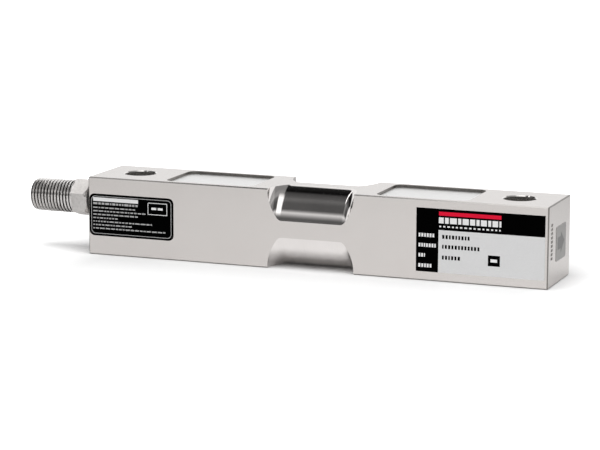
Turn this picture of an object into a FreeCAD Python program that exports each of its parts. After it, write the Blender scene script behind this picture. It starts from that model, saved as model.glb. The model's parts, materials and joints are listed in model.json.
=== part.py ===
import FreeCAD, Part
import math
import os

# Double-ended shear-beam load cell with a turned neck between its two gauged halves.
# A square steel bar is held by a pin or bolt through a hole near each end. The load bears on
# the neck and pulls towards the back, as the arrow label on the right end shows.
# Each half has a gauge cavity in its top and in its underside, and the thin web left between
# the two takes the shear. A fitting for the cable conduit stands out of the left end.
#
# Millimetres. +X runs along the bar, away from the conduit fitting. +Y points to the back.
# The origin is on the underside, midway between the two mounting holes.

V = FreeCAD.Vector
X_AXIS = V(1, 0, 0)
Z_AXIS = V(0, 0, 1)

# Square bar
beam_length = 190.5
beam_width = 31.5
beam_height = 31.5
edge_chamfer = 0.45

# Turned neck in the middle
neck_diameter = 32.2
neck_straight = 24.8
neck_fillet = 5.5

# Mounting holes, one at each end
hole_from_end = 15.875
hole_diameter = 12.7
hole_chamfer = 0.4

# Sunk seat for each cover plate
shoulder_wall = 7.6
seat_length = 37.3
seat_width = 26.4
seat_corner_radius = 3.2
seat_ledge = 1.5
cover_sunk = 1.0
cover_thickness = 0.8
cover_clearance = 0.1

# Gauge cavity under each cover
cavity_corner_radius = 2.2
web_thickness = 5.0

# Drillings for the wires, and the flat ribbons of wires in them
passage_diameter = 3.0
passage_above_web = 0.1
passage_wall_gap = 1.4
web_hole_diameter = 3.0
web_hole_from_wall = 2.5
ribbon_width = 1.6
ribbon_thickness = 0.5
ribbon_clearance = 0.05
ribbon_stand_out = 1.4

# Strain gauges and their terminals
gauge_size = 10.0
gauge_backing = 0.15
grid_size = 4.2
grid_relief = 0.1
grid_spacing = 4.6
terminal_length = 13.0
terminal_width = 4.0
terminal_thickness = 0.2
terminal_gauge_gap = 1.0
solder_size = 1.4
solder_height = 0.4
solder_pitch = 3.0
solder_count = 4

# Bridge trimming board, in the upper left cavity only
board_length = 7.5
board_width = 8.0
board_thickness = 0.8
board_wall_gap = 1.0
resistor_length = 3.2
resistor_width = 1.6
resistor_height = 0.6
resistor_pitch = 3.4

# Potting over the gauges
potting_air_gap = 0.3

# Port for the cable in the left end face, with the long wire drilling in its bottom
port_inboard = 1.6
port_above_passage = 1.6
port_diameter = 10.0
port_depth = 7.5
drill_point_angle = 118.0
drill_point_flat = 0.5
bush_thickness = 2.5
bush_bore = 4.6
port_clearance = 0.05

# Conduit fitting: a spigot in the port, a seal ring, a hexagon and a tapered pipe thread
fitting_bore = 6.5
hexagon_across_flats = 13.5
hexagon_length = 6.85
hexagon_chamfer = 1.3
hexagon_turn = 19.0
pipe_thread_length = 18.6
pipe_diameter = 13.3
pipe_thread_start_diameter = 13.0
pipe_thread_taper = 1.0 / 16.0
pipe_thread_chamfer = 0.6
ring_width = 1.9
ring_inside_hexagon = 0.4

# Labels
label_thickness = 0.15
rating_label_length = 50.7
rating_label_height = 24.7
rating_label_from_end = 1.3
rating_label_above_middle = 0.15
approval_label_length = 36.8
approval_label_height = 17.0
approval_label_from_end = 0.45
approval_label_above_middle = 0.55
approval_label_radius = 2.2
arrow_label_width = 13.9
arrow_label_height = 13.4
arrow_label_behind_middle = 2.1
arrow_label_below_middle = 0.35
arrow_label_radius = 1.0

# Places that follow from the sizes above
half_length = beam_length / 2
half_width = beam_width / 2
axis_height = beam_height / 2
neck_radius = neck_diameter / 2
shoulder = neck_straight / 2 + neck_fillet
hole_x = half_length - hole_from_end
seat_depth = cover_sunk + cover_thickness
seat_middle = shoulder + shoulder_wall + seat_length / 2
cavity_length = seat_length - 2 * seat_ledge
cavity_width = seat_width - 2 * seat_ledge
web_top = axis_height + web_thickness / 2
web_bottom = axis_height - web_thickness / 2
passage_y = -cavity_width / 2 + passage_wall_gap + passage_diameter / 2
passage_z = web_top + passage_above_web + passage_diameter / 2
web_hole_x = cavity_length / 2 - web_hole_from_wall - web_hole_diameter / 2
terminal_x = -gauge_size / 2 - terminal_gauge_gap - terminal_width / 2
board_x = cavity_length / 2 - board_wall_gap - board_length / 2
board_y = cavity_width / 2 - board_wall_gap - board_width / 2
port_y = passage_y + port_inboard
port_z = passage_z + port_above_passage
spigot_length = port_depth - bush_thickness
ledge_height = (beam_height - web_thickness) / 2 - seat_depth

SIDES = {"left": -1, "right": 1}
LEVELS = {"top": 1, "bottom": -1}


def rounded_plate(length, width, radius, thickness):
    """A flat plate with rounded corners, centred on the origin, from z = 0 upwards."""
    hx = length / 2
    hy = width / 2
    cut = radius * (1 - math.sqrt(0.5))
    corners = []
    for sx, sy in ((1, 1), (-1, 1), (-1, -1), (1, -1)):
        on_side = V(sx * hx, sy * (hy - radius), 0)
        on_end = V(sx * (hx - radius), sy * hy, 0)
        middle = V(sx * (hx - cut), sy * (hy - cut), 0)
        start, stop = (on_side, on_end) if sx * sy > 0 else (on_end, on_side)
        corners.append((start, middle, stop))
    edges = []
    for i, (start, middle, stop) in enumerate(corners):
        edges.append(Part.Arc(start, middle, stop).toShape())
        edges.append(Part.LineSegment(stop, corners[(i + 1) % 4][0]).toShape())
    return Part.Face(Part.Wire(edges)).extrude(Z_AXIS * thickness)


def turned(profile, base, direction):
    """A solid of revolution from (distance along the axis, radius) points."""
    points = [V(along, radius, 0) for along, radius in profile]
    face = Part.Face(Part.makePolygon(points + points[:1]))
    solid = face.revolve(V(0, 0, 0), X_AXIS, 360)
    solid.Placement = FreeCAD.Placement(base, FreeCAD.Rotation(X_AXIS, direction))
    return solid


def placed(shape, side, level, x=0.0, y=0.0, height=0.0):
    """Puts a shape made above z = 0 on a web, or at that height over it, in one of the four cavities."""
    moved = shape.copy()
    if level < 0:
        moved = moved.mirror(V(0, 0, 0), Z_AXIS)
    if side < 0:
        moved = moved.mirror(V(0, 0, 0), X_AXIS)
    web_face = web_top if level > 0 else web_bottom
    moved.translate(V(side * (seat_middle + x), y, web_face + level * height))
    return moved


def neck_cutter():
    """What the lathe takes away: a ring outside the neck, with a full fillet at each shoulder."""
    clear = math.hypot(beam_width, beam_height)
    straight = neck_straight / 2
    wall = neck_radius + neck_fillet
    bend = neck_fillet * math.sqrt(0.5)

    def point(x, radius):
        return V(x, 0, axis_height + radius)

    left_arc = Part.Arc(
        point(-shoulder, wall), point(-straight - bend, wall - bend), point(-straight, neck_radius)
    )
    right_arc = Part.Arc(
        point(straight, neck_radius), point(straight + bend, wall - bend), point(shoulder, wall)
    )
    edges = [
        Part.LineSegment(point(-shoulder, clear), point(-shoulder, wall)),
        left_arc,
        Part.LineSegment(point(-straight, neck_radius), point(straight, neck_radius)),
        right_arc,
        Part.LineSegment(point(shoulder, wall), point(shoulder, clear)),
        Part.LineSegment(point(shoulder, clear), point(-shoulder, clear)),
    ]
    face = Part.Face(Part.Wire([edge.toShape() for edge in edges]))
    return face.revolve(V(0, 0, axis_height), X_AXIS, 360)


def mounting_hole(x):
    """Through hole with a chamfer at both mouths."""
    mouth = hole_diameter / 2 + hole_chamfer
    bore = hole_diameter / 2
    profile = [
        (0, 0),
        (0, mouth),
        (hole_chamfer, bore),
        (beam_height - hole_chamfer, bore),
        (beam_height, mouth),
        (beam_height, 0),
    ]
    return turned(profile, V(x, 0, 0), Z_AXIS)


def cavity(side, level):
    """Cover seat and the deeper gauge cavity inside it."""
    seat = rounded_plate(seat_length, seat_width, seat_corner_radius, seat_depth)
    well = rounded_plate(cavity_length, cavity_width, cavity_corner_radius, ledge_height)
    return placed(seat, side, level, height=ledge_height).fuse(placed(well, side, level))


def cable_port():
    """Blind hole in the left end face, with the cone that the drill leaves at its bottom."""
    bore = port_diameter / 2
    cone = (bore - drill_point_flat) / math.tan(math.radians(drill_point_angle / 2))
    profile = [
        (0, 0),
        (0, bore),
        (port_depth, bore),
        (port_depth + cone, drill_point_flat),
        (port_depth + cone, 0),
    ]
    return turned(profile, V(-half_length, port_y, port_z), X_AXIS)


def wire_drillings():
    """The long drilling from the port to the far cavity, and a hole through each web."""
    reach = seat_middle - cavity_length / 2 + passage_diameter
    start = V(-half_length + port_depth, passage_y, passage_z)
    long_hole = Part.makeCylinder(passage_diameter / 2, reach - start.x, start, X_AXIS)
    holes = [long_hole]
    for side in SIDES.values():
        foot = V(side * (seat_middle + web_hole_x), passage_y, web_bottom)
        holes.append(Part.makeCylinder(web_hole_diameter / 2, web_thickness, foot, Z_AXIS))
    return holes


def beam_body():
    """The square bar with all its machining."""
    bar = Part.makeBox(beam_length, beam_width, beam_height, V(-half_length, -half_width, 0))
    bar = bar.makeChamfer(edge_chamfer, bar.Edges)
    cuts = [neck_cutter()]
    cuts += [mounting_hole(side * hole_x) for side in SIDES.values()]
    cuts += [cavity(side, level) for side in SIDES.values() for level in LEVELS.values()]
    cuts += wire_drillings()
    cuts.append(cable_port())
    return bar.cut(cuts)


def cover(side, level):
    """Sheet-metal plate that lies on the ledge of a seat and closes the cavity."""
    plate = rounded_plate(
        seat_length - 2 * cover_clearance,
        seat_width - 2 * cover_clearance,
        seat_corner_radius - cover_clearance,
        cover_thickness,
    )
    return placed(plate, side, level, height=ledge_height)


def gauge(side, level):
    """Shear rosette on the web: a foil backing with two measuring grids, each turned by 45 degrees."""
    corner = V(-gauge_size / 2, -gauge_size / 2, 0)
    foil = Part.makeBox(gauge_size, gauge_size, gauge_backing, corner)
    grid_side = grid_size / math.sqrt(2)
    for end in (-1, 1):
        grid = Part.makeBox(grid_side, grid_side, grid_relief, V(-grid_side / 2, -grid_side / 2, 0))
        grid.rotate(V(0, 0, 0), Z_AXIS, 45)
        grid.translate(V(end * grid_spacing / 2, 0, gauge_backing))
        foil = foil.fuse(grid)
    return placed(foil.removeSplitter(), side, level)


def terminals(side, level):
    """Strip across the web with a row of solder terminals, on the gauge's side towards the neck."""
    strip_corner = V(-terminal_width / 2, -terminal_length / 2, 0)
    strip = Part.makeBox(terminal_width, terminal_length, terminal_thickness, strip_corner)
    for i in range(solder_count):
        y = (i - (solder_count - 1) / 2) * solder_pitch
        foot = V(-solder_size / 2, y - solder_size / 2, terminal_thickness)
        strip = strip.fuse(Part.makeBox(solder_size, solder_size, solder_height, foot))
    return placed(strip, side, level, x=terminal_x)


def trim_board():
    """Small circuit board at the outer end of the upper left cavity."""
    corner = V(-board_length / 2, -board_width / 2, 0)
    board = Part.makeBox(board_length, board_width, board_thickness, corner)
    return placed(board, -1, 1, x=board_x, y=board_y)


def trim_resistor(row):
    """One chip resistor on the trimming board, in row 0 or 1."""
    corner = V(-resistor_width / 2, -resistor_length / 2, 0)
    chip = Part.makeBox(resistor_width, resistor_length, resistor_height, corner)
    x = board_x + (row - 0.5) * resistor_pitch
    return placed(chip, -1, 1, x=x, y=board_y, height=board_thickness)


def neck_wires():
    """Ribbon in the long drilling, that ends beside the upper left and upper right terminals."""
    radius = passage_diameter / 2 - ribbon_clearance
    in_drilling = passage_z - math.sqrt(radius**2 - (ribbon_width / 2) ** 2)
    z = max(in_drilling, web_top + terminal_thickness)
    end = seat_middle + terminal_x + terminal_width / 2
    corner = V(-end, passage_y - ribbon_width / 2, z)
    return Part.makeBox(2 * end, ribbon_width, ribbon_thickness, corner)


def web_wires(side):
    """Short ribbon through the hole in a web, held by the compound above and below it."""
    middle_x = side * (seat_middle + web_hole_x)
    bottom = web_bottom - ribbon_stand_out
    corner = V(middle_x - ribbon_width / 2, passage_y - ribbon_thickness / 2, bottom)
    height = web_thickness + 2 * ribbon_stand_out
    return Part.makeBox(ribbon_width, ribbon_thickness, height, corner)


def potting(side, level, inside):
    """Soft compound poured over the web up to just under the cover, round all that lies there."""
    depth = ledge_height - potting_air_gap
    block = placed(rounded_plate(cavity_length, cavity_width, cavity_corner_radius, depth), side, level)
    near = [shape for shape in inside if shape.BoundBox.intersect(block.BoundBox)]
    return block.cut(near)


def cable_bush():
    """Rubber bush at the bottom of the port, squeezed on the cable by the fitting."""
    base = V(-half_length + spigot_length, port_y, port_z)
    outer = Part.makeCylinder(port_diameter / 2 - port_clearance, bush_thickness, base, X_AXIS)
    return outer.cut(Part.makeCylinder(bush_bore / 2, bush_thickness, base, X_AXIS))


def hexagon():
    """Spanner hexagon from the seal ring outwards along -X, its corners turned off at the ring."""
    corner = hexagon_across_flats / math.sqrt(3)
    angles = [math.radians(60 * i + hexagon_turn) for i in range(7)]
    points = [V(0, -corner * math.cos(angle), corner * math.sin(angle)) for angle in angles]
    prism = Part.Face(Part.makePolygon(points)).extrude(-X_AXIS * hexagon_length)
    flat = hexagon_across_flats / 2
    over = 2 * corner - flat
    blank = turned(
        [
            (0, 0),
            (0, flat),
            (2 * hexagon_chamfer, over),
            (hexagon_length, over),
            (hexagon_length, 0),
        ],
        V(0, 0, 0),
        -X_AXIS,
    )
    shape = prism.common(blank)
    shape.translate(V(-half_length - ring_width, port_y, port_z))
    return shape


def conduit_fitting():
    """Hollow fitting, turned along one axis, with its spigot in the port."""
    bore = fitting_bore / 2
    spigot = port_diameter / 2 - port_clearance
    pipe = pipe_diameter / 2
    start = pipe_thread_start_diameter / 2
    hexagon_end = ring_width + hexagon_length
    tip = hexagon_end + pipe_thread_length
    taper_end = tip - (pipe_diameter - pipe_thread_start_diameter) / pipe_thread_taper
    profile = [
        (-spigot_length, bore),
        (-spigot_length, spigot),
        (hexagon_end, spigot),
        (hexagon_end, pipe),
        (taper_end, pipe),
        (tip - pipe_thread_chamfer, start),
        (tip, start - pipe_thread_chamfer),
        (tip, bore),
    ]
    core = turned(profile, V(-half_length, port_y, port_z), -X_AXIS)
    hexagon_base = V(-half_length - hexagon_end, port_y, port_z)
    clear = Part.makeCylinder(bore, hexagon_length, hexagon_base, X_AXIS)
    return core.fuse(hexagon().cut(clear)).removeSplitter()


def seal_ring():
    """Rubber ring round the spigot, between the hexagon and the end face of the bar."""
    base = V(-half_length - ring_width, port_y, port_z)
    outside = hexagon_across_flats / 2 - ring_inside_hexagon
    outer = Part.makeCylinder(outside, ring_width, base, X_AXIS)
    return outer.cut(Part.makeCylinder(port_diameter / 2, ring_width, base, X_AXIS))


def front_label(length, height, radius, middle_x, above_middle):
    """A thin label on the front face, with rounded or square corners."""
    if radius > 0:
        plate = rounded_plate(length, height, radius, label_thickness)
    else:
        plate = Part.makeBox(length, height, label_thickness, V(-length / 2, -height / 2, 0))
    plate.rotate(V(0, 0, 0), X_AXIS, 90)
    plate.translate(V(middle_x, -half_width, axis_height + above_middle))
    return plate


def rating_label():
    """Square-cornered label near the right end."""
    x = half_length - rating_label_from_end - rating_label_length / 2
    return front_label(rating_label_length, rating_label_height, 0, x, rating_label_above_middle)


def approval_label():
    """Round-cornered label at the left end."""
    x = -half_length + approval_label_from_end + approval_label_length / 2
    return front_label(
        approval_label_length,
        approval_label_height,
        approval_label_radius,
        x,
        approval_label_above_middle,
    )


def load_arrow_label():
    """Small label on the right end face, which shows the direction of the load."""
    plate = rounded_plate(arrow_label_width, arrow_label_height, arrow_label_radius, label_thickness)
    plate.rotate(V(0, 0, 0), X_AXIS, 90)
    plate.rotate(V(0, 0, 0), Z_AXIS, 90)
    middle = axis_height - arrow_label_below_middle
    plate.translate(V(half_length, arrow_label_behind_middle, middle))
    return plate


def build():
    """All pieces by name."""
    inner = {
        "neck_wires": neck_wires(),
        "web_wires_left": web_wires(SIDES["left"]),
        "web_wires_right": web_wires(SIDES["right"]),
        "trim_board": trim_board(),
        "zero_trim_resistor": trim_resistor(0),
        "span_trim_resistor": trim_resistor(1),
    }
    places = {
        level_name + "_" + side_name: (side, level)
        for side_name, side in SIDES.items()
        for level_name, level in LEVELS.items()
    }
    for place, (side, level) in places.items():
        inner["strain_gauge_" + place] = gauge(side, level)
        inner["terminal_strip_" + place] = terminals(side, level)
    parts = {"beam_body": beam_body(), **inner}
    for place, (side, level) in places.items():
        parts["potting_" + place] = potting(side, level, inner.values())
        parts["cover_" + place] = cover(side, level)
    parts["cable_bush"] = cable_bush()
    parts["conduit_fitting"] = conduit_fitting()
    parts["fitting_seal_ring"] = seal_ring()
    parts["rating_label"] = rating_label()
    parts["approval_label"] = approval_label()
    parts["load_arrow_label"] = load_arrow_label()
    return parts


os.makedirs("parts", exist_ok=True)
for name, shape in build().items():
    shape.exportStep("parts/" + name + ".step")
    print(name, len(shape.Solids), "solid,", round(shape.Volume, 2), "mm3, valid:", shape.isValid())
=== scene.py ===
import json
import math
import random

import bmesh
import bpy
from mathutils import Matrix, Vector


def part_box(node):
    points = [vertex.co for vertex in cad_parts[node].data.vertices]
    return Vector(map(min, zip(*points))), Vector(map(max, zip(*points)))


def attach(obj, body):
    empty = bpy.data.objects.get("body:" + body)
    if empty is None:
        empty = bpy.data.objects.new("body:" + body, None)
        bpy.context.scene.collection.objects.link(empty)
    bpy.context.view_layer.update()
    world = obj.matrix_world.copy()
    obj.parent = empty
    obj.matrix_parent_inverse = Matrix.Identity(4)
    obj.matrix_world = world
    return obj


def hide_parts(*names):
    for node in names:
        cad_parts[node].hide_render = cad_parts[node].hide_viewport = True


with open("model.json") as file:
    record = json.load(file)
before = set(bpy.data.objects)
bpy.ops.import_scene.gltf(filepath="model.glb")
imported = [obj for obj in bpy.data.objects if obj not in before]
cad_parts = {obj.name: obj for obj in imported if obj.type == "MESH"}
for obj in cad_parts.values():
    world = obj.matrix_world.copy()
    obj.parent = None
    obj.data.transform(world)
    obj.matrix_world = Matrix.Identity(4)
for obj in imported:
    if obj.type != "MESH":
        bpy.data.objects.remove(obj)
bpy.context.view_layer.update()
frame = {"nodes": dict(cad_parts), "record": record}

# Square bar
# The body of the cell is one bar of stainless steel, ground on its faces. The neck in its middle
# is turned and polished, the end holes are reamed, and the seats for the covers are milled.
MM = 0.001
bar_low, bar_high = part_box("beam_body")
bar_middle = (bar_low + bar_high) / 2
bar_size = bar_high - bar_low
bar_edge = 0.45 * MM
neck_radius = 16.1 * MM
neck_half_straight = 12.4 * MM
neck_fillet = 5.5 * MM
fillet_steps = 16
neck_steps = 288
hole_mouth = 0.4 * MM
seat_mouth = 0.12 * MM
seat_corner = 3.2 * MM
cavity_corner = 2.2 * MM
corner_segments = 10
cover_gap = 0.1 * MM
port_radius = 5.0 * MM
port_depth = 7.5 * MM
drill_flat = 0.5 * MM
drill_angle = math.radians(59)
wire_hole_radius = 1.5 * MM
long_hole_height = 19.85 * MM
overshoot = 2 * MM
weld = 0.001 * MM
noise_range = (0.3, 0.7)
GROUND, TURNED, SHADED_MILLED, ETCHED, EASED, REAMED = range(6)


def skin(name, metallic=0.0):
    """A new material and its Object coordinates."""
    material = bpy.data.materials.new(name)
    material.use_nodes = True
    nodes = material.node_tree.nodes
    nodes["Principled BSDF"].inputs["Metallic"].default_value = metallic
    return material, nodes.new("ShaderNodeTexCoord").outputs["Object"]


def noise(material, place, scale, detail):
    """A noise pattern over a material's coordinates."""
    pattern = material.node_tree.nodes.new("ShaderNodeTexNoise")
    pattern.inputs["Scale"].default_value = scale
    pattern.inputs["Detail"].default_value = detail
    material.node_tree.links.new(place, pattern.inputs["Vector"])
    return pattern.outputs["Fac"]


def ranged(tree, value, start, end, interpolation="LINEAR"):
    """Moves a value from one range to another."""
    node = tree.nodes.new("ShaderNodeMapRange")
    node.interpolation_type = interpolation
    node.inputs["From Min"].default_value = start[0]
    node.inputs["From Max"].default_value = start[1]
    node.inputs["To Min"].default_value = end[0]
    node.inputs["To Max"].default_value = end[1]
    tree.links.new(value, node.inputs["Value"])
    return node.outputs["Result"]


def tinted(material, pattern, dark, light):
    """Colours a material from dark to light by a pattern."""
    link = material.node_tree.links.new
    tones = material.node_tree.nodes.new("ShaderNodeValToRGB")
    for stop, position, colour in zip(tones.color_ramp.elements, noise_range, (dark, light)):
        stop.position = position
        stop.color = (*colour, 1)
    link(pattern, tones.inputs["Fac"])
    link(tones.outputs["Color"], material.node_tree.nodes["Principled BSDF"].inputs["Base Color"])


def relief(material, pattern, depth):
    """Raises a material's surface by a pattern."""
    link = material.node_tree.links.new
    bump = material.node_tree.nodes.new("ShaderNodeBump")
    bump.inputs["Strength"].default_value = 1.0
    bump.inputs["Distance"].default_value = depth
    link(pattern, bump.inputs["Height"])
    link(bump.outputs["Normal"], material.node_tree.nodes["Principled BSDF"].inputs["Normal"])


def steel(name, dark, light, roughness, marks, depth, metallic=1.0):
    """Bare steel, with tool marks that are close together along the axes with a high scale."""
    material, place = skin(name, metallic)
    nodes = material.node_tree.nodes
    link = material.node_tree.links.new
    stretch = nodes.new("ShaderNodeMapping")
    stretch.inputs["Scale"].default_value = marks
    link(place, stretch.inputs["Vector"])
    scratches = noise(material, stretch.outputs["Vector"], scale=1.0, detail=3.0)
    clouds = noise(material, place, scale=90.0, detail=2.0)
    blend = nodes.new("ShaderNodeMix")
    blend.inputs["Factor"].default_value = 0.5
    link(scratches, blend.inputs["A"])
    link(clouds, blend.inputs["B"])
    tinted(material, blend.outputs["Result"], dark, light)
    gloss = ranged(material.node_tree, blend.outputs["Result"], noise_range, roughness)
    link(gloss, nodes["Principled BSDF"].inputs["Roughness"])
    relief(material, scratches, depth)
    return material


def turned_shape(outline, finish, closed=False, steps=96):
    """A shape turned about the X axis from (distance, radius) points."""
    shape = bmesh.new()
    points = [shape.verts.new((along, 0, radius)) for along, radius in outline]
    pairs = list(zip(points, points[1:]))
    if closed:
        pairs.append((points[-1], points[0]))
    lines = [shape.edges.new(pair) for pair in pairs]
    bmesh.ops.spin(
        shape, geom=points + lines, axis=(1, 0, 0), angle=2 * math.pi, steps=steps, use_merge=True
    )
    bmesh.ops.remove_doubles(shape, verts=shape.verts, dist=weld)
    bmesh.ops.recalc_face_normals(shape, faces=shape.faces)
    for face in shape.faces:
        face.material_index = finish
    return shape


def drilled(diameter_points, foot, direction, finish=SHADED_MILLED):
    """What a drill takes away from a foot point in one direction."""
    shape = turned_shape(diameter_points, finish)
    turn = Vector((1, 0, 0)).rotation_difference(Vector(direction)).to_matrix().to_4x4()
    shape.transform(Matrix.Translation(foot) @ turn)
    return shape


def rounded_stack(outlines, finish=0):
    """A solid through rounded rectangles, each (length, width, corner radius, height)."""
    shape = bmesh.new()
    levels = []
    for length, width, radius, height in outlines:
        made = bmesh.ops.create_grid(shape, x_segments=1, y_segments=1, size=0.5)
        corners = made["verts"]
        bmesh.ops.scale(shape, vec=(length, width, 1), verts=corners)
        bmesh.ops.translate(shape, vec=(0, 0, height), verts=corners)
        if radius > 0:
            bmesh.ops.bevel(
                shape,
                geom=corners,
                offset=radius,
                segments=corner_segments,
                profile=0.5,
                affect="VERTICES",
                material=-1,
            )
        shape.faces.ensure_lookup_table()
        levels.append(shape.faces[-1])
    for lower, upper in zip(levels, levels[1:]):
        bmesh.ops.bridge_loops(shape, edges=lower.edges[:] + upper.edges[:])
    bmesh.ops.delete(shape, geom=levels[1:-1], context="FACES_ONLY")
    bmesh.ops.recalc_face_normals(shape, faces=shape.faces)
    for face in shape.faces:
        face.material_index = finish
    return shape


def block(low, high, finish=0):
    """A square block between two corners."""
    shape = bmesh.new()
    corners = bmesh.ops.create_cube(shape, size=1.0)["verts"]
    bmesh.ops.scale(shape, vec=high - low, verts=corners)
    bmesh.ops.translate(shape, vec=(low + high) / 2, verts=corners)
    for face in shape.faces:
        face.material_index = finish
    return shape


def machine(blank, tool, operation="DIFFERENCE"):
    """Cuts a shape with another, or joins or crosses the two, and gives back one shape."""
    pair = []
    for shape in (blank, tool):
        mesh = bpy.data.meshes.new("shape")
        shape.to_mesh(mesh)
        shape.free()
        for _ in range(REAMED + 1):
            mesh.materials.append(None)
        pair.append(bpy.data.objects.new("shape", mesh))
        bpy.context.scene.collection.objects.link(pair[-1])
    work, cutter = pair
    boolean = work.modifiers.new("machine", "BOOLEAN")
    boolean.object = cutter
    boolean.operation = operation
    boolean.solver = "EXACT"
    depsgraph = bpy.context.evaluated_depsgraph_get()
    mesh = bpy.data.meshes.new_from_object(work.evaluated_get(depsgraph))
    result = bmesh.new()
    result.from_mesh(mesh)
    bmesh.ops.dissolve_degenerate(result, edges=result.edges, dist=weld / 10)
    bpy.data.meshes.remove(mesh)
    for each in pair:
        bpy.data.meshes.remove(each.data)
    return result


def piece(name, shape, finishes, sharp=25, replaced=()):
    """Makes a shape a piece of the cell, smooth but for sharp edges and those between finishes."""
    for face in shape.faces:
        face.smooth = True
    for edge in shape.edges:
        sides = edge.link_faces
        edge.smooth = (
            len(sides) == 2
            and sides[0].material_index == sides[1].material_index
            and edge.calc_face_angle(0) < math.radians(sharp)
        )
    mesh = bpy.data.meshes.new(name)
    shape.to_mesh(mesh)
    shape.free()
    for finish in finishes:
        mesh.materials.append(finish)
    made = bpy.data.objects.new(name, mesh)
    bpy.context.scene.collection.objects.link(made)
    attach(made, "root")
    if replaced:
        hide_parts(*replaced)
    return made


bar = block(bar_low, bar_high, GROUND)
bmesh.ops.bevel(
    bar, geom=bar.edges[:], offset=bar_edge, segments=1, profile=0.5, affect="EDGES", material=EASED
)
bar.normal_update()

# The eased end edges take the milled finish: duller than the long ones, and a painted shade.
for side in bar.faces:
    if side.material_index == EASED and abs(side.normal.x) > 0.5:
        side.material_index = SHADED_MILLED

# The lathe takes away a ring with a full fillet at each shoulder of the neck.
clear_radius = bar_size.y
shoulder = neck_half_straight + neck_fillet
quarter = [math.radians(90 * i / fillet_steps) for i in range(fillet_steps + 1)]
right_fillet = [
    (neck_half_straight + neck_fillet * math.sin(a), neck_radius + neck_fillet * (1 - math.cos(a)))
    for a in quarter
]
left_fillet = [(-along, radius) for along, radius in reversed(right_fillet)]
ring_outline = [(-shoulder, clear_radius)] + left_fillet + right_fillet + [(shoulder, clear_radius)]
ring = turned_shape(ring_outline, TURNED, closed=True, steps=neck_steps)
ring.transform(Matrix.Translation((0, 0, bar_middle.z)))
bar = machine(bar, ring)

# Each end hole goes right through, with both its mouths eased.
mounts = {mount["name"]: mount for mount in frame["record"]["mounts"]}
for end in ("left_end_hole", "right_end_hole"):
    reamed = mounts[end]["dims"]["r_mm"] * MM
    wide = reamed + hole_mouth + overshoot
    depth = bar_size.z
    reamer = drilled(
        [
            (-overshoot, 0),
            (-overshoot, wide),
            (hole_mouth, reamed),
            (depth - hole_mouth, reamed),
            (depth + overshoot, wide),
            (depth + overshoot, 0),
        ],
        Vector((mounts[end]["pos_m"][0], mounts[end]["pos_m"][1], bar_low.z)),
        (0, 0, 1),
        REAMED,
    )
    bar = machine(bar, reamer)

# Each seat is milled first, with an eased mouth, and the narrower cavity below it down to the web.
PLACES = ("top_left", "bottom_left", "top_right", "bottom_right")
for place_name in PLACES:
    cover_low, cover_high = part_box("cover_" + place_name)
    filled_low, filled_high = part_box("potting_" + place_name)
    seat = cover_high - cover_low + Vector((2, 2, 0)) * cover_gap
    cavity = filled_high - filled_low
    up = 1 if "top" in place_name else -1
    surface = bar_size.z / 2
    ledge = abs((cover_low.z if up > 0 else cover_high.z) - bar_middle.z)
    web = abs((filled_low.z if up > 0 else filled_high.z) - bar_middle.z)
    mouth = 2 * seat_mouth
    cutter = rounded_stack(
        [
            (seat.x + mouth, seat.y + mouth, seat_corner + seat_mouth, surface + overshoot),
            (seat.x + mouth, seat.y + mouth, seat_corner + seat_mouth, surface),
            (seat.x, seat.y, seat_corner, surface - seat_mouth),
            (seat.x, seat.y, seat_corner, ledge),
            (cavity.x, cavity.y, cavity_corner, ledge),
            (cavity.x, cavity.y, cavity_corner, web),
        ],
        SHADED_MILLED,
    )
    if up < 0:
        cutter.transform(Matrix.Scale(-1, 4, (0, 0, 1)))
        bmesh.ops.reverse_faces(cutter, faces=cutter.faces)
    middle_x = (cover_low.x + cover_high.x) / 2
    cutter.transform(Matrix.Translation((middle_x, bar_middle.y, bar_middle.z)))
    bar = machine(bar, cutter)

# The cable port with the drill's cone at its bottom, and the holes for the wires.
ring_low, ring_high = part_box("fitting_seal_ring")
port_middle = (ring_low + ring_high) / 2
port_foot = Vector((bar_low.x, port_middle.y, port_middle.z))
cone = (port_radius - drill_flat) / math.tan(drill_angle)
port_outline = [
    (-overshoot, 0),
    (-overshoot, port_radius),
    (port_depth, port_radius),
    (port_depth + cone, drill_flat),
    (port_depth + cone, 0),
]
bar = machine(bar, drilled(port_outline, port_foot, (1, 0, 0)))
ribbon_low, ribbon_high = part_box("neck_wires")
hole_y = (ribbon_low.y + ribbon_high.y) / 2
long_start = bar_low.x + port_depth / 2
long_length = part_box("potting_top_right")[0].x + overshoot - long_start
long_outline = [(0, 0), (0, wire_hole_radius), (long_length, wire_hole_radius), (long_length, 0)]
bar = machine(bar, drilled(long_outline, Vector((long_start, hole_y, long_hole_height)), (1, 0, 0)))
for side in ("left", "right"):
    wires_low, wires_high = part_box("web_wires_" + side)
    foot = (wires_low + wires_high) / 2
    reach = wires_high.z - wires_low.z
    foot.z = wires_low.z
    web_outline = [(0, 0), (0, wire_hole_radius), (reach, wire_hole_radius), (reach, 0)]
    bar = machine(bar, drilled(web_outline, foot, (0, 0, 1)))

# A column of plain etched dashes beside the arrow label.
mark_front = bar_low.y + 3.4 * MM
mark_bottom = bar_low.z + 10.6 * MM
mark_depth = 0.05 * MM
mark_width = 2.6 * MM
mark_height = 1.1 * MM
mark_pitch = 1.6 * MM
mark_count = 9
for i in range(mark_count):
    low_z = mark_bottom + i * mark_pitch
    mark_low = Vector((bar_high.x - mark_depth, mark_front, low_z))
    mark_high = Vector((bar_high.x + overshoot, mark_front + mark_width, low_z + mark_height))
    bar = machine(bar, block(mark_low, mark_high, ETCHED))

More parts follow.
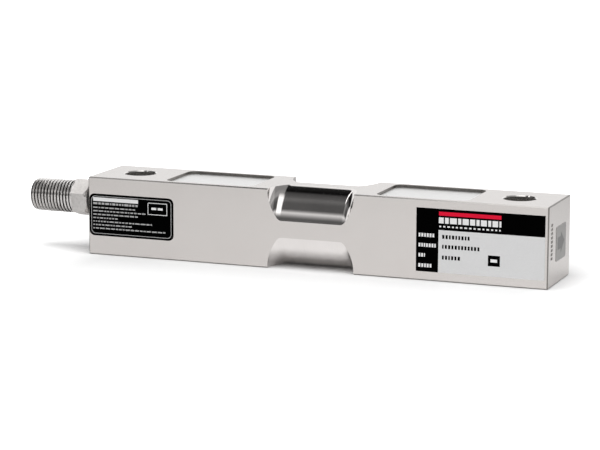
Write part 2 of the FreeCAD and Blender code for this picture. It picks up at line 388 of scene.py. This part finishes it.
ground_steel = steel(
    "ground_steel",
    dark=(0.655, 0.623, 0.603),
    light=(0.69, 0.657, 0.637),
    roughness=(0.20, 0.26),
    marks=(130, 2600, 2600),
    depth=0.0002 * MM,
)
turned_steel = steel(
    "turned_steel",
    dark=(0.78, 0.75, 0.735),
    light=(0.84, 0.81, 0.795),
    roughness=(0.06, 0.10),
    marks=(5200, 60, 60),
    depth=0.0002 * MM,
)
# The milled finish is the bar's steel painted dark: a painted shade on the seat walls, in the port
# and wire holes, and along the end edges.
milled_painted_shade = steel(
    "milled_painted_shade",
    dark=(0.20, 0.19, 0.18),
    light=(0.28, 0.265, 0.25),
    roughness=(0.28, 0.38),
    marks=(900, 900, 2800),
    depth=0.002 * MM,
)
etched_steel = steel(
    "etched_steel",
    dark=(0.20, 0.19, 0.18),
    light=(0.34, 0.325, 0.31),
    roughness=(0.5, 0.65),
    marks=(2500, 2500, 2500),
    depth=0.003 * MM,
)
eased_steel = steel(
    "eased_steel",
    dark=(0.58, 0.56, 0.54),
    light=(0.66, 0.64, 0.62),
    roughness=(0.16, 0.22),
    marks=(900, 900, 900),
    depth=0.0003 * MM,
)
reamed_steel = steel(
    "reamed_steel",
    dark=(0.78, 0.76, 0.74),
    light=(0.88, 0.86, 0.84),
    roughness=(0.05, 0.09),
    marks=(300, 300, 2600),
    depth=0.0003 * MM,
    metallic=0.93,
)
bar_finishes = [ground_steel, turned_steel, milled_painted_shade, etched_steel, eased_steel, reamed_steel]
piece("bar", bar, bar_finishes, replaced=["beam_body"])

# Cover plates
# Thin stainless sheet, blanked to fit the seats with its edges eased, and glued down on the
# ledge of each seat. The sheet keeps the bright, slightly uneven skin that it was rolled with.
cover_edge = 0.1 * MM
cover_steel = steel(
    "rolled_sheet",
    dark=(0.88, 0.875, 0.87),
    light=(0.94, 0.935, 0.93),
    roughness=(0.30, 0.38),
    marks=(260, 1500, 1500),
    depth=0.0004 * MM,
)
for place_name in PLACES:
    low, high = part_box("cover_" + place_name)
    size = high - low
    corner = seat_corner - cover_gap
    inner = (size.x - 2 * cover_edge, size.y - 2 * cover_edge, corner - cover_edge)
    sheet = rounded_stack(
        [
            (*inner, 0),
            (size.x, size.y, corner, cover_edge),
            (size.x, size.y, corner, size.z - cover_edge),
            (*inner, size.z),
        ]
    )
    sheet.transform(Matrix.Translation(((low.x + high.x) / 2, (low.y + high.y) / 2, low.z)))
    cover = "cover_" + place_name
    piece(cover + "_sheet", sheet, [cover_steel], replaced=[cover])

# Conduit fitting
# A hollow fitting turned from hexagon bar. Its spigot is glued in the port of the bar, and the
# outer end carries a tapered pipe thread, 18 turns to the inch, for a conduit or a cable gland.
fitting_low, fitting_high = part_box("conduit_fitting")
DRAWN, THREADED, SHADED_ROOT = range(3)
spigot_radius = 4.95 * MM
fitting_bore = mounts["cable_entry"]["dims"]["r_mm"] * MM
bore_mouth = 0.3 * MM
hexagon_flats = 13.5 * MM
hexagon_length = 6.85 * MM
hexagon_chamfer = 1.3 * MM
hexagon_turn = math.radians(19)
pipe_radius = 6.65 * MM
thread_start_radius = 6.5 * MM
thread_taper = 1 / 32
thread_depth = 1.0 * MM
thread_pitch = 25.4 / 18 * MM
thread_chamfer = 0.6 * MM
thread_steps = 96
shaded_root_share = 0.6
ring_width = ring_high.x - ring_low.x
tip = bar_low.x - fitting_low.x
hexagon_end = ring_width + hexagon_length
spigot_end = bar_low.x - fitting_high.x
into_hexagon = 1.0 * MM

# One tooth as (share of the pitch, share of the depth). The row of teeth is spun once round with
# a lead of one pitch, and the spare ones at its ends are cut off.
tooth = [(0.06, 0), (0.20, 0.46), (0.37, 1), (0.63, 1), (0.80, 0.46), (0.94, 0)]
thread = bmesh.new()
crests = math.ceil((tip - hexagon_end) / thread_pitch)
root_radius = thread_start_radius - thread_depth
rows = [
    thread.verts.new(
        (hexagon_end + (i + share) * thread_pitch, 0, root_radius + thread_depth * high)
    )
    for i in range(-2, crests + 1)
    for share, high in tooth
]
rows_edges = [thread.edges.new(pair) for pair in zip(rows, rows[1:])]
bmesh.ops.spin(
    thread,
    geom=rows + rows_edges,
    axis=(1, 0, 0),
    angle=2 * math.pi,
    dvec=(thread_pitch / thread_steps, 0, 0),
    steps=thread_steps,
)
bmesh.ops.remove_doubles(thread, verts=thread.verts, dist=weld)
for end, keep in ((hexagon_end - into_hexagon, -1), (tip, 1)):
    bmesh.ops.bisect_plane(
        thread,
        geom=thread.verts[:] + thread.edges[:] + thread.faces[:],
        plane_co=(end, 0, 0),
        plane_no=(keep, 0, 0),
        clear_outer=True,
    )
open_edges = [edge for edge in thread.edges if edge.is_boundary]
bmesh.ops.holes_fill(thread, edges=open_edges)
for vert in thread.verts:
    from_tip = tip - vert.co.x
    radius = math.hypot(vert.co.y, vert.co.z)
    tapered = min(
        radius + from_tip * thread_taper,
        pipe_radius,
        thread_start_radius - thread_chamfer + from_tip,
    )
    vert.co.y *= tapered / radius
    vert.co.z *= tapered / radius
bmesh.ops.recalc_face_normals(thread, faces=thread.faces)
# The roots and the lower half of each flank take a dark finish: a painted shade in the grooves of
# the thread.
for face in thread.faces:
    middle = face.calc_center_median()
    shaded_root_top = thread_start_radius - shaded_root_share * thread_depth + (tip - middle.x) * thread_taper
    in_shaded_root = math.hypot(middle.y, middle.z) < shaded_root_top
    is_flank = len(face.verts) < 5
    face.material_index = SHADED_ROOT if in_shaded_root and is_flank else THREADED

# The hexagon's corners are turned down at the end next to the seal ring.
hexagon_corner = hexagon_flats / math.sqrt(3)
hexagon_outline = [
    (ring_width, 0),
    (ring_width, hexagon_corner),
    (hexagon_end, hexagon_corner),
    (hexagon_end, 0),
]
hexagon = turned_shape(hexagon_outline, DRAWN, steps=6)
hexagon.transform(Matrix.Rotation(hexagon_turn - math.pi / 2, 4, "X"))
slope = (hexagon_corner - hexagon_flats / 2) / hexagon_chamfer
blank_outline = [
    (ring_width - overshoot, 0),
    (ring_width - overshoot, hexagon_flats / 2 - slope * overshoot),
    (hexagon_end + overshoot, hexagon_flats / 2 + slope * (hexagon_length + overshoot)),
    (hexagon_end + overshoot, 0),
]
fitting = machine(hexagon, turned_shape(blank_outline, THREADED), "INTERSECT")
fitting = machine(fitting, thread, "UNION")
spigot_outline = [
    (spigot_end, 0),
    (spigot_end, spigot_radius),
    (hexagon_end - into_hexagon / 2, spigot_radius),
    (hexagon_end - into_hexagon / 2, 0),
]
fitting = machine(fitting, turned_shape(spigot_outline, THREADED), "UNION")
bore_outline = [
    (spigot_end - overshoot, 0),
    (spigot_end - overshoot, fitting_bore),
    (tip - bore_mouth, fitting_bore),
    (tip + overshoot, fitting_bore + bore_mouth + overshoot),
    (tip + overshoot, 0),
]
fitting = machine(fitting, turned_shape(bore_outline, THREADED))
fitting.transform(Matrix.Translation(port_foot) @ Matrix.Rotation(math.pi, 4, "Z"))
drawn_steel = steel(
    "drawn_steel",
    dark=(0.57, 0.548, 0.53),
    light=(0.81, 0.78, 0.76),
    roughness=(0.4, 0.5),
    marks=(1100, 1100, 1100),
    depth=0.016 * MM,
    metallic=0.0,
)
thread_steel = steel(
    "thread_steel",
    dark=(0.68, 0.66, 0.645),
    light=(0.82, 0.80, 0.785),
    roughness=(0.12, 0.20),
    marks=(1800, 500, 500),
    depth=0.0008 * MM,
    metallic=0.85,
)
# Thread steel painted dark, a painted shade for the grooves.
root_painted_shade = steel(
    "thread_root_painted_shade",
    dark=(0.11, 0.105, 0.10),
    light=(0.17, 0.162, 0.155),
    roughness=(0.3, 0.4),
    marks=(1800, 500, 500),
    depth=0.0008 * MM,
)
fitting_finishes = [drawn_steel, thread_steel, root_painted_shade]
piece("fitting", fitting, fitting_finishes, sharp=30, replaced=["conduit_fitting"])

# Seal ring
# A black rubber ring, squeezed flat between the hexagon and the end face of the bar, with its
# outer edges rounded by the mould.
ring_radius = (ring_high.y - ring_low.y) / 2
ring_edge = 0.35 * MM


def moulded(name, colour, roughness, grain, depth, mottle=0.08):
    """Rubber, film or compound with a fine even grain."""
    material, place = skin(name)
    material.node_tree.nodes["Principled BSDF"].inputs["Roughness"].default_value = roughness
    speckle = noise(material, place, scale=grain, detail=4.0)
    dark = [(1 - mottle) * tone for tone in colour]
    light = [min((1 + mottle) * tone, 1) for tone in colour]
    tinted(material, speckle, dark, light)
    relief(material, speckle, depth)
    return material


seal_rubber = moulded(
    "seal_rubber", (0.018, 0.018, 0.018), roughness=0.55, grain=3000, depth=0.006 * MM
)
seal_outline = [
    (0, port_radius),
    (0, ring_radius - ring_edge),
    (ring_edge, ring_radius),
    (ring_width - ring_edge, ring_radius),
    (ring_width, ring_radius - ring_edge),
    (ring_width, port_radius),
]
seal = turned_shape(seal_outline, 0, closed=True)
seal.transform(Matrix.Translation((ring_low.x, port_middle.y, port_middle.z)))
piece("seal_ring", seal, [seal_rubber], sharp=50, replaced=["fitting_seal_ring"])

# Rating label
# Printed polyester film, square-cornered, stuck on the front face near the right end. Plain
# bars and dashes stand for its print: a black header and column round a silver field.
FILM, BLACK, PALE, RED, GREY = range(5)
film_thickness = 0.13 * MM
ink_thickness = 0.01 * MM
label_edge = 0.02 * MM


def printed(name, colour, roughness=0.32, shine=0.04):
    """Ink or coloured film with a satin skin."""
    material = moulded(name, colour, roughness, grain=1800, depth=0.0001 * MM, mottle=0.015)
    material.node_tree.nodes["Principled BSDF"].inputs["Specular IOR Level"].default_value = shine
    return material


def film(length, height, radius):
    """The bare label, from its lower left corner, with its printed side up."""
    eased = (length - 2 * label_edge, height - 2 * label_edge, max(radius - label_edge, 0))
    shape = rounded_stack(
        [
            (length, height, radius, 0),
            (length, height, radius, film_thickness - label_edge),
            (*eased, film_thickness),
        ],
        FILM,
    )
    shape.transform(Matrix.Translation((length / 2, height / 2, 0)))
    return shape


def ink(shape, left, top, length, height, colour, layer):
    """Prints one bar, in millimetres from the label's upper left corner."""
    label_height = max(vert.co.y for vert in shape.verts)
    low_z = film_thickness + layer * ink_thickness
    low = Vector((left * MM, label_height - (top + height) * MM, low_z))
    high = Vector(((left + length) * MM, label_height - top * MM, low_z + ink_thickness))
    made = bmesh.ops.create_cube(shape, size=1.0)["verts"]
    bmesh.ops.scale(shape, vec=high - low, verts=made)
    bmesh.ops.translate(shape, vec=(low + high) / 2, verts=made)
    for face in {face for vert in made for face in vert.link_faces}:
        face.material_index = colour


def dashes(shape, left, top, length, height, colour, layer, sizes, gap):
    """Prints a row of dashes of uneven length."""
    at = left
    while left + length - at > sizes[0] / 2:
        dash = min(random.uniform(*sizes), left + length - at)
        ink(shape, at, top, dash, height, colour, layer)
        at += dash + gap


random.seed(7)
rating_low, rating_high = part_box("rating_label")
rating_length = rating_high.x - rating_low.x
rating_height = rating_high.z - rating_low.z

# Stands a flat label up against the front face of the bar.
on_front = Matrix(((1, 0, 0, 0), (0, 0, -1, 0), (0, 1, 0, 0), (0, 0, 0, 1)))

rating = film(rating_length, rating_height, 0)
header_height = 8.2
column_width = 8.9

# Bars as (left, top, length, height, ink, layer), in millimetres from the upper left corner.
rating_bars = (
    (0, 0, rating_length / MM, header_height, BLACK, 0),
    (0, header_height, column_width, rating_height / MM - header_height, BLACK, 0),
    (9.0, 1.1, 24.6, 1.5, RED, 1),
    (28.6, 16.6, 4.7, 4.1, BLACK, 0),
    (29.6, 18.0, 2.6, 1.2, PALE, 1),
)
for bar_of_ink in rating_bars:
    ink(rating, *bar_of_ink)

# Rows of dashes in the same way, each with (shortest, longest) dash and the gap after a dash.
rating_rows = (
    (9.0, 3.3, 24.6, 2.3, PALE, 1, (1.1, 3.6), 0.5),
    (9.2, 6.5, 24.2, 0.6, PALE, 1, (0.7, 1.1), 0.8),
    (1.0, 9.8, 6.4, 1.4, PALE, 1, (0.6, 0.9), 0.35),
    (1.0, 13.7, 6.9, 1.4, PALE, 1, (0.6, 0.9), 0.35),
    (1.0, 17.6, 2.6, 1.4, PALE, 1, (0.6, 0.9), 0.35),
    (1.0, 21.6, 5.8, 1.4, PALE, 1, (0.6, 0.9), 0.35),
    (10.4, 10.0, 11.6, 1.5, BLACK, 0, (0.6, 0.9), 0.5),
    (10.4, 13.8, 14.8, 1.5, BLACK, 0, (0.6, 0.9), 0.5),
    (10.4, 18.0, 7.6, 1.5, BLACK, 0, (0.6, 0.9), 0.5),
)
for row in rating_rows:
    dashes(rating, *row)
rating.transform(Matrix.Translation((rating_low.x, bar_low.y, rating_low.z)) @ on_front)
label_silver = printed("label_silver", (0.78, 0.78, 0.782), roughness=0.3, shine=0.3)
label_black = printed("label_black", (0.001, 0.001, 0.001), shine=0.0)
label_pale = printed("label_pale", (0.92, 0.92, 0.92))
label_red = printed("label_red", (0.84, 0.01, 0.045))
label_grey = printed("label_grey", (0.50, 0.50, 0.50))
inks = [label_silver, label_black, label_pale, label_red, label_grey]
piece("rating_print", rating, inks, replaced=["rating_label"])

# Approval label
# Black film with rounded corners and a thin light border, at the left end of the front face. A
# bar, rows of dashes and an empty box stand for its print.
approval_low, approval_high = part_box("approval_label")
approval_length = approval_high.x - approval_low.x
approval_height = approval_high.z - approval_low.z
approval_corner = 2.2 * MM
border_inset = 0.85 * MM
border_width = 0.22 * MM
turn_in = 0.6
approval = film(approval_length, approval_height, approval_corner)


def border(shape, inset, colour):
    """Prints a thin closed line inside the label's edge."""
    outer, inner = (
        (approval_length - 2 * step, approval_height - 2 * step, approval_corner - turn_in * step)
        for step in (inset, inset + border_width)
    )
    low, high = film_thickness - ink_thickness, film_thickness + ink_thickness
    line = rounded_stack([(*outer, low), (*outer, high), (*inner, high), (*inner, low)], colour)
    line.transform(Matrix.Translation((approval_length / 2, approval_height / 2, 0)))
    mesh = bpy.data.meshes.new("border")
    line.to_mesh(mesh)
    line.free()
    shape.from_mesh(mesh)
    bpy.data.meshes.remove(mesh)


border(approval, border_inset, GREY)
print_left = 1.7
ink(approval, print_left, 1.45, 19.8, 1.5, PALE, 0)

# Rows of dashes as (top, length, height), in millimetres.
approval_rows = (
    (3.5, 19.6, 0.8),
    (5.3, 18.8, 0.5),
    (6.7, 23.0, 0.5),
    (8.1, 20.2, 0.5),
    (9.5, 11.4, 0.5),
    (10.9, 25.8, 0.5),
    (12.3, 17.6, 0.5),
    (13.7, 31.6, 0.5),
)
for top, length, height in approval_rows:
    dashes(approval, print_left, top, length, height, GREY, 0, sizes=(0.6, 2.2), gap=0.4)
box_left, box_top, box_length, box_height, box_line = 25.7, 2.2, 8.2, 4.6, 0.25
box_sides = (
    (box_left, box_top, box_length, box_line),
    (box_left, box_top + box_height, box_length, box_line),
    (box_left, box_top, box_line, box_height),
    (box_left + box_length, box_top, box_line, box_height + box_line),
)
for box_side in box_sides:
    ink(approval, *box_side, PALE, 0)
dashes(approval, box_left + 1.6, box_top + 1.9, 5.0, 0.9, PALE, 0, sizes=(2.0, 2.2), gap=0.6)
approval.transform(Matrix.Translation((approval_low.x, bar_low.y, approval_low.z)) @ on_front)
approval_inks = [label_black, label_black, label_pale, label_red, label_grey]
piece("approval_print", approval, approval_inks, replaced=["approval_label"])

# Arrow label
# A small square of grey metal foil on the right end face, with a darker arrow that points the
# way the load pulls.
arrow_low, arrow_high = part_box("load_arrow_label")
arrow_length = arrow_high.y - arrow_low.y
arrow_height = arrow_high.z - arrow_low.z
arrow_corner = 1.0 * MM
arrow_tag = film(arrow_length, arrow_height, arrow_corner)
stem_back, neck_at, point_at = 2.0 * MM, 6.4 * MM, 11.8 * MM
stem_half, head_half = 2.4 * MM, 4.2 * MM
arrow_middle = arrow_height / 2
arrow_outline = [
    (stem_back, -stem_half),
    (neck_at, -stem_half),
    (neck_at, -head_half),
    (point_at, 0),
    (neck_at, head_half),
    (neck_at, stem_half),
    (stem_back, stem_half),
]
corners = [arrow_tag.verts.new((x, arrow_middle + y, film_thickness)) for x, y in arrow_outline]
arrow_face = arrow_tag.faces.new(corners)
arrow_face.material_index = BLACK
lifted = bmesh.ops.extrude_face_region(arrow_tag, geom=[arrow_face])
lifted_verts = [item for item in lifted["geom"] if isinstance(item, bmesh.types.BMVert)]
bmesh.ops.translate(arrow_tag, vec=(0, 0, ink_thickness), verts=lifted_verts)
bmesh.ops.recalc_face_normals(arrow_tag, faces=arrow_tag.faces)

# Stands it up against the right end face.
on_end = Matrix(((0, 0, 1, 0), (1, 0, 0, 0), (0, 1, 0, 0), (0, 0, 0, 1)))
arrow_tag.transform(Matrix.Translation((bar_high.x, arrow_low.y, arrow_low.z)) @ on_end)
foil_grey = printed("foil_grey", (0.35, 0.34, 0.33), roughness=0.4, shine=0.4)
arrow_grey = printed("arrow_grey", (0.17, 0.166, 0.162), roughness=0.4, shine=0.4)
arrow_inks = [foil_grey, arrow_grey]
piece("arrow_print", arrow_tag, arrow_inks, replaced=["load_arrow_label"])

# Pieces inside
# Gauges, terminals and the trimming board lie on the webs under soft potting compound. Flat
# ribbons of wires join the cavities, and a rubber bush waits in the port for the cable.

# Each finish is given as name, colour, roughness, scale of its grain and depth of its grain.
inside = {
    "strain_gauge": moulded("gauge_film", (0.62, 0.33, 0.10), 0.35, 900, 0.004 * MM),
    "terminal_strip": moulded("terminal_laminate", (0.42, 0.36, 0.20), 0.4, 1500, 0.005 * MM),
    "potting": moulded("potting_gel", (0.66, 0.65, 0.60), 0.25, 250, 0.03 * MM),
    "neck_wires": moulded("ribbon_insulation", (0.45, 0.03, 0.02), 0.45, 1200, 0.008 * MM),
    "web_wires": moulded("web_wire_insulation", (0.05, 0.09, 0.32), 0.45, 1200, 0.008 * MM),
    "trim_board": moulded("green_laminate", (0.03, 0.16, 0.06), 0.35, 1100, 0.005 * MM),
    "zero_trim_resistor": moulded("resistor_glaze", (0.02, 0.02, 0.022), 0.3, 1500, 0.003 * MM),
    "span_trim_resistor": moulded("resistor_body", (0.02, 0.022, 0.02), 0.3, 1500, 0.003 * MM),
    "cable_bush": seal_rubber,
}
for name, node in frame["nodes"].items():
    for kind, finish in inside.items():
        if name.startswith(kind):
            node.material_slots[0].material = finish

# Studio
# A white table under one soft lamp overhead. The table and the surroundings stay white for the
# camera, and a curved card that only reflections see shapes the bands on the polished neck.
ambient_share = 0.3


def worked_out(tree, operation, *values):
    """A Math node over sockets and plain numbers."""
    node = tree.nodes.new("ShaderNodeMath")
    node.operation = operation
    for place, value in enumerate(values):
        if isinstance(value, (int, float)):
            node.inputs[place].default_value = value
        else:
            tree.links.new(value, node.inputs[place])
    return node.outputs["Value"]


world = bpy.data.worlds.new("studio")
bpy.context.scene.world = world
world.use_nodes = True
world.cycles.sampling_method = "NONE"
sky = world.node_tree
surround = sky.nodes["Background"]
surround.inputs["Color"].default_value = (1, 1, 1, 1)
path = sky.nodes.new("ShaderNodeLightPath")
seen = worked_out(sky, "MAXIMUM", path.outputs["Is Camera Ray"], path.outputs["Is Glossy Ray"])
seen = worked_out(sky, "MAXIMUM", seen, path.outputs["Is Transmission Ray"])
sky.links.new(ranged(sky, seen, (0.0, 1.0), (ambient_share, 1.0)), surround.inputs["Strength"])

# The camera alone sees the table glow. The glow grows with the distance from the bar's foot, a
# rectangle, so the shadow close to the bar stays and the far table runs out into white.
glow_shift = (0, 0.001, 0)
glow_overlap = 0.010
glow_range = (0.006, 0.160)
glow_stretch = (2.5, 1, 1)
table_white, beside = skin("table_white")
table_tree = table_white.node_tree
paint = table_tree.nodes["Principled BSDF"]
paint.inputs["Base Color"].default_value = (0.80, 0.80, 0.80, 1)
paint.inputs["Roughness"].default_value = 1.0
paint.inputs["Specular IOR Level"].default_value = 0.0
for operation, vector in (
    ("ADD", glow_shift),
    ("ABSOLUTE", None),
    ("SUBTRACT", (bar_size.x / 2 - glow_overlap, bar_size.y / 2, 0)),
    ("MAXIMUM", (0, 0, 0)),
    ("MULTIPLY", glow_stretch),
    ("LENGTH", None),
):
    step = table_tree.nodes.new("ShaderNodeVectorMath")
    step.operation = operation
    if vector:
        step.inputs[1].default_value = vector
    table_tree.links.new(beside, step.inputs[0])
    beside = step.outputs["Value" if operation == "LENGTH" else "Vector"]
lift = ranged(table_tree, beside, glow_range, (0.0, 1.0))
camera_ray = table_tree.nodes.new("ShaderNodeLightPath").outputs["Is Camera Ray"]
glow = worked_out(table_tree, "MULTIPLY", lift, camera_ray)
paint.inputs["Emission Color"].default_value = (1, 1, 1, 1)
table_tree.links.new(glow, paint.inputs["Emission Strength"])

table_size = 8.0
table = bpy.data.meshes.new("table")
table_shape = bmesh.new()
bmesh.ops.create_grid(table_shape, x_segments=1, y_segments=1, size=table_size / 2)
table_shape.to_mesh(table)
table_shape.free()
table.materials.append(table_white)
table_top = bpy.data.objects.new("table", table)
bpy.context.scene.collection.objects.link(table_top)

# One curved card over the bar shows only in reflections. Its tones go by the angle about the
# bar's axis, in degrees from the horizon behind it over the top to the front. Soft windows on
# it, as (left, right, softness, from angle, to angle, softness, brightness), show the lamps.
card_radius = 0.85
card_left, card_right = -1.8, 4.0
card_steps = 64
card_tones = (
    (42, 0.9),
    (46, 0.02),
    (72, 0.003),
    (79, 0.06),
    (93, 0.10),
    (100, 0.15),
    (107, 0.13),
    (114, 0.09),
    (133, 0.085),
    (138, 0.32),
    (143, 0.78),
    (149, 0.46),
    (155, 0.19),
    (160, 0.10),
    (170, 0.14),
)
card_windows = (
    (-0.22, 0.32, 0.07, 95, 145, 12, 1.4),
    (-0.505, -0.435, 0.028, 66, 98, 7, 2.3),
    (-0.545, -0.465, 0.028, 44, 70, 7, 1.9),
    (-0.15, 5.0, 0.05, 45, 96, 4, 0.25),
    (-0.80, -0.50, 0.06, 97, 155, 6, 0.15),
    (0.95, 5.0, 0.10, 30, 175, 5, 0.15),
)
card_start, card_end = card_tones[0][0], card_tones[-1][0]
card = bmesh.new()
start_y = card_radius * math.cos(math.radians(card_start))
start_z = card_radius * math.sin(math.radians(card_start))
card_line = [card.verts.new((x, start_y, start_z)) for x in (card_left, card_right)]
card_edge = card.edges.new(card_line)
bmesh.ops.spin(
    card,
    geom=card_line + [card_edge],
    axis=(1, 0, 0),
    angle=math.radians(card_end - card_start),
    steps=card_steps,
)
card_mesh = bpy.data.meshes.new("card")
card.to_mesh(card_mesh)
card.free()
card_paint, card_place = skin("card_tones")
card_tree = card_paint.node_tree


def window(along, low, high, softness):
    """Rises softly from 0 to 1 at one value and falls back at the other."""
    rise = ranged(card_tree, along, (low - softness, low + softness), (0.0, 1.0), "SMOOTHSTEP")
    fall = ranged(card_tree, along, (high - softness, high + softness), (1.0, 0.0), "SMOOTHSTEP")
    return worked_out(card_tree, "MULTIPLY", rise, fall)


card_axes = card_tree.nodes.new("ShaderNodeSeparateXYZ")
card_tree.links.new(card_place, card_axes.inputs["Vector"])
card_angle = worked_out(card_tree, "ARCTAN2", card_axes.outputs["Z"], card_axes.outputs["Y"])
card_degrees = worked_out(card_tree, "MULTIPLY", card_angle, 180 / math.pi)
card_ramp = card_tree.nodes.new("ShaderNodeValToRGB")
stops = card_ramp.color_ramp.elements
stops[0].position = card_start / 180
stops[1].position = card_end / 180
for degrees, tone in card_tones[1:-1]:
    stops.new(degrees / 180)
for stop, (degrees, tone) in zip(stops, card_tones):
    stop.color = (tone, tone, tone, 1)
half_turns = worked_out(card_tree, "DIVIDE", card_angle, math.pi)
card_tree.links.new(half_turns, card_ramp.inputs["Fac"])
card_light = worked_out(card_tree, "ADD", card_ramp.outputs["Color"], 0.0)
for start_x, end_x, soft_x, start_angle, end_angle, soft_angle, brightness in card_windows:
    across = window(card_axes.outputs["X"], start_x, end_x, soft_x)
    around = window(card_degrees, start_angle, end_angle, soft_angle)
    pane = worked_out(card_tree, "MULTIPLY", across, around)
    pane = worked_out(card_tree, "MULTIPLY", pane, brightness)
    card_light = worked_out(card_tree, "ADD", card_light, pane)
card_shader = card_tree.nodes["Principled BSDF"]
card_shader.inputs["Base Color"].default_value = (0, 0, 0, 1)
card_shader.inputs["Specular IOR Level"].default_value = 0.0
card_shader.inputs["Emission Color"].default_value = (1, 1, 1, 1)
card_tree.links.new(card_light, card_shader.inputs["Emission Strength"])
card_mesh.materials.append(card_paint)
card_object = bpy.data.objects.new("card", card_mesh)
card_object.location.z = bar_middle.z
bpy.context.scene.collection.objects.link(card_object)
card_object.visible_camera = False
card_object.visible_diffuse = False
card_object.visible_shadow = False

# The soft lamp hangs over the bar, a little in front and to the right of it. Reflections don't
# see it, because the card stands for it there.
lamp_height = 0.63
lamp_left, lamp_right = -0.28, 0.52
lamp_front, lamp_back = -0.40, 0.06
lamp = bpy.data.lights.new("overhead_softbox", "AREA")
lamp.shape = "RECTANGLE"
lamp.size = lamp_right - lamp_left
lamp.size_y = lamp_back - lamp_front
lamp.energy = 4.85
overhead = bpy.data.objects.new("overhead_softbox", lamp)
overhead.location = ((lamp_left + lamp_right) / 2, (lamp_front + lamp_back) / 2, lamp_height)
overhead.visible_glossy = False
bpy.context.scene.collection.objects.link(overhead)

# Camera
# It looks at the bar from the right and a little above, through a long lens. Its place, turn and
# lens come from laying the bar's edges over those in the photo.
azimuth = math.radians(20.98)
elevation = math.radians(10.445)
roll = math.radians(0.187)
distance = 942.7 * MM
aside = 9.61 * MM
below = 0.144 * MM
right = Vector((math.cos(azimuth), math.sin(azimuth), 0))
towards = Vector(
    (
        math.sin(azimuth) * math.cos(elevation),
        -math.cos(azimuth) * math.cos(elevation),
        math.sin(elevation),
    )
)
above = towards.cross(right)
camera_data = bpy.data.cameras.new("camera")
camera_data.lens = 143.6
camera_data.sensor_width = 36
camera = bpy.data.objects.new("camera", camera_data)
axes = Matrix((right, above, towards)).transposed().to_4x4()
aim = Vector((0, 0, bar_middle.z)) - aside * right - below * above
stand = Matrix.Translation(aim + distance * towards)
camera.matrix_world = stand @ axes @ Matrix.Rotation(roll, 4, "Z")
bpy.context.scene.collection.objects.link(camera)
bpy.context.scene.camera = camera
bpy.context.scene.view_settings.view_transform = "Standard"
